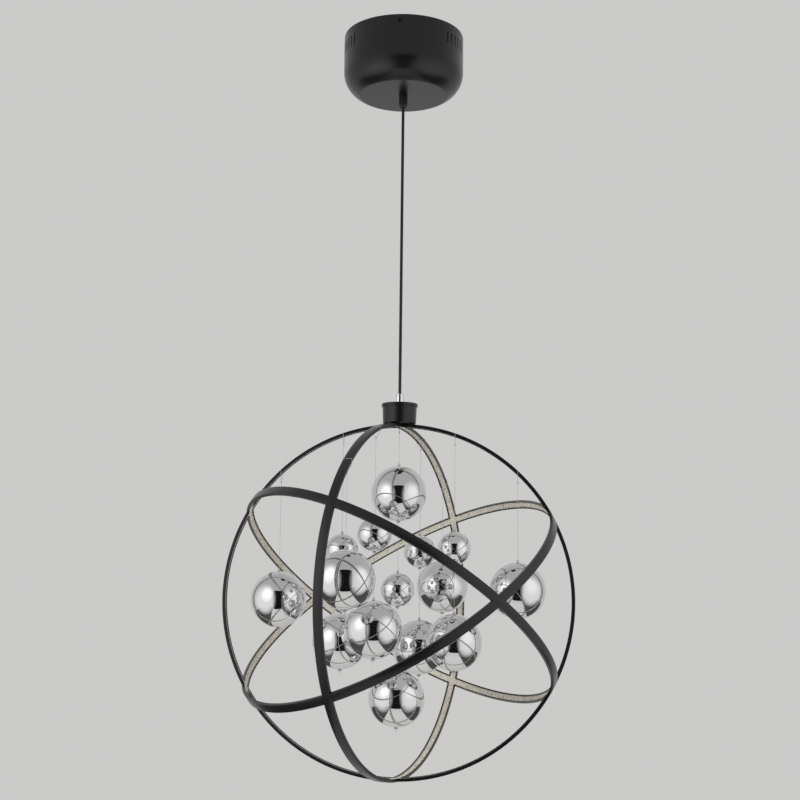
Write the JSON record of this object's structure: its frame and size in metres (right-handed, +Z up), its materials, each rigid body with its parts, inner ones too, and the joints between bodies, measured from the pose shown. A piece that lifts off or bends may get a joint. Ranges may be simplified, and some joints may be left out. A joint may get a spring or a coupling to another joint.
{
  "type": "orb chandelier",
  "caption": "Pendant light: mirrored glass balls on clear lines inside a ball-shaped cage of crossed black hoops lit from their inner faces, hung on a cord from a drum canopy.",
  "frame": {"origin": "middle of the canopy's ceiling face, on the cord's axis", "axes": "+Z is up, into the ceiling; X lies in the plane of the first upright hoop; the ceiling bar and its slots run along Y"},
  "size_m": [0.5999, 0.5702, 1.3],
  "materials": {
    "satin_black_steel": "satin black powder coat on spun steel",
    "satin_black_aluminium": "satin black powder coat on a rolled aluminium channel",
    "zinc_steel": "bright zinc plate",
    "black_screw_steel": "blackened steel screw",
    "chrome": "polished chrome",
    "brass": "plain brass",
    "white_plastic": "fine matt moulded plastic",
    "black_plastic": "matt black nylon",
    "cord_jacket": "smooth black flexible cord sheath",
    "wire_insulation": "thin coloured wire insulation",
    "led_tape": "cream flexible light tape with chips and resistors",
    "clear_silicone": "milky clear silicone",
    "mirror_glass": "mirror-coated blown glass",
    "clear_nylon": "clear nylon line and fittings"
  },
  "bodies": {
    "canopy": {"canopy_shell": "satin_black_steel", "ceiling_bracket": "zinc_steel", "canopy_side_screws": "black_screw_steel", "led_driver": "white_plastic", "driver_screws": "zinc_steel", "terminal_block": "white_plastic", "terminal_screws": "brass", "mains_leads": "wire_insulation", "inner_lead": "cord_jacket", "cord_grip_body": "black_plastic", "cord_grip_nut": "black_plastic"},
    "hanging_cord": {"cord": "cord_jacket"},
    "cage": {"cord_gland": "chrome", "hub_lid": "satin_black_steel", "hub_cup": "satin_black_steel", "hub_stem": "zinc_steel", "hub_pin": "zinc_steel", "hub_nuts": "zinc_steel", "hub_washer": "zinc_steel", "hub_splice": "white_plastic", "hub_lead": "cord_jacket", "strip_leads": "wire_insulation", "upright_hoop_a": "satin_black_aluminium", "upright_hoop_b": "satin_black_aluminium", "tilted_hoop_c": "satin_black_aluminium", "tilted_hoop_d": "satin_black_aluminium", "led_strip_a": "led_tape", "led_strip_b": "led_tape", "led_strip_c": "led_tape", "led_strip_d": "led_tape", "strip_cover_a": "clear_silicone", "strip_cover_b": "clear_silicone", "strip_cover_c": "clear_silicone", "strip_cover_d": "clear_silicone"},
    "centre_string": {"centre_line": "clear_nylon", "centre_top_ball": "mirror_glass", "centre_middle_ball": "mirror_glass", "centre_bottom_ball": "mirror_glass"},
    "left_near_string": {"left_near_line": "clear_nylon", "left_near_upper_ball": "mirror_glass", "left_near_lower_ball": "mirror_glass"},
    "left_far_string": {"left_far_line": "clear_nylon", "left_far_ball": "mirror_glass"},
    "right_near_string": {"right_near_line": "clear_nylon", "right_near_upper_ball": "mirror_glass", "right_near_lower_ball": "mirror_glass"},
    "right_far_string": {"right_far_line": "clear_nylon", "right_far_ball": "mirror_glass"},
    "front_near_string": {"front_near_line": "clear_nylon", "front_near_upper_ball": "mirror_glass", "front_near_lower_ball": "mirror_glass"},
    "front_far_string": {"front_far_line": "clear_nylon", "front_far_ball": "mirror_glass"},
    "back_near_string": {"back_near_line": "clear_nylon", "back_near_upper_ball": "mirror_glass", "back_near_lower_ball": "mirror_glass"},
    "back_far_string": {"back_far_line": "clear_nylon", "back_far_ball": "mirror_glass"}
  },
  "joints": [
    {"name": "cord_swing", "type": "hinge", "parent": "canopy", "child": "hanging_cord", "pos_m": [0, 0, -0.1265], "axis": [0, 1, 0], "range_deg": [-15, 15]},
    {"name": "cage_swivel", "type": "hinge", "parent": "hanging_cord", "child": "cage", "pos_m": [0, 0, -0.6562], "axis": [0, 0, 1], "range_deg": [-180, 180]},
    {"name": "centre_string_swing", "type": "hinge", "parent": "cage", "child": "centre_string", "pos_m": [0, 0, -0.70005], "axis": [0, 1, 0], "range_deg": [-5, 5]},
    {"name": "left_near_string_swing", "type": "hinge", "parent": "cage", "child": "left_near_string", "pos_m": [-0.0965, 0, -0.71542], "axis": [0, 1, 0], "range_deg": [-2, 3.5]},
    {"name": "left_far_string_swing", "type": "hinge", "parent": "cage", "child": "left_far_string", "pos_m": [-0.204, 0, -0.77935], "axis": [0, 1, 0], "range_deg": [-5, 8]},
    {"name": "right_near_string_swing", "type": "hinge", "parent": "cage", "child": "right_near_string", "pos_m": [0.0965, 0, -0.71542], "axis": [0, -1, 0], "range_deg": [-2, 3.5]},
    {"name": "right_far_string_swing", "type": "hinge", "parent": "cage", "child": "right_far_string", "pos_m": [0.204, 0, -0.77935], "axis": [0, -1, 0], "range_deg": [-5, 8]},
    {"name": "front_near_string_swing", "type": "hinge", "parent": "cage", "child": "front_near_string", "pos_m": [-0.03217, -0.09098, -0.71542], "axis": [-0.9428, 0.3333, 0], "range_deg": [-2, 3.5]},
    {"name": "front_far_string_swing", "type": "hinge", "parent": "cage", "child": "front_far_string", "pos_m": [-0.068, -0.19233, -0.77935], "axis": [-0.9428, 0.3333, 0], "range_deg": [-5, 8]},
    {"name": "back_near_string_swing", "type": "hinge", "parent": "cage", "child": "back_near_string", "pos_m": [0.03217, 0.09098, -0.71542], "axis": [0.9428, -0.3333, 0], "range_deg": [-2, 3.5]},
    {"name": "back_far_string_swing", "type": "hinge", "parent": "cage", "child": "back_far_string", "pos_m": [0.068, 0.19233, -0.77935], "axis": [0.9428, -0.3333, 0], "range_deg": [-5, 8]}
  ]
}
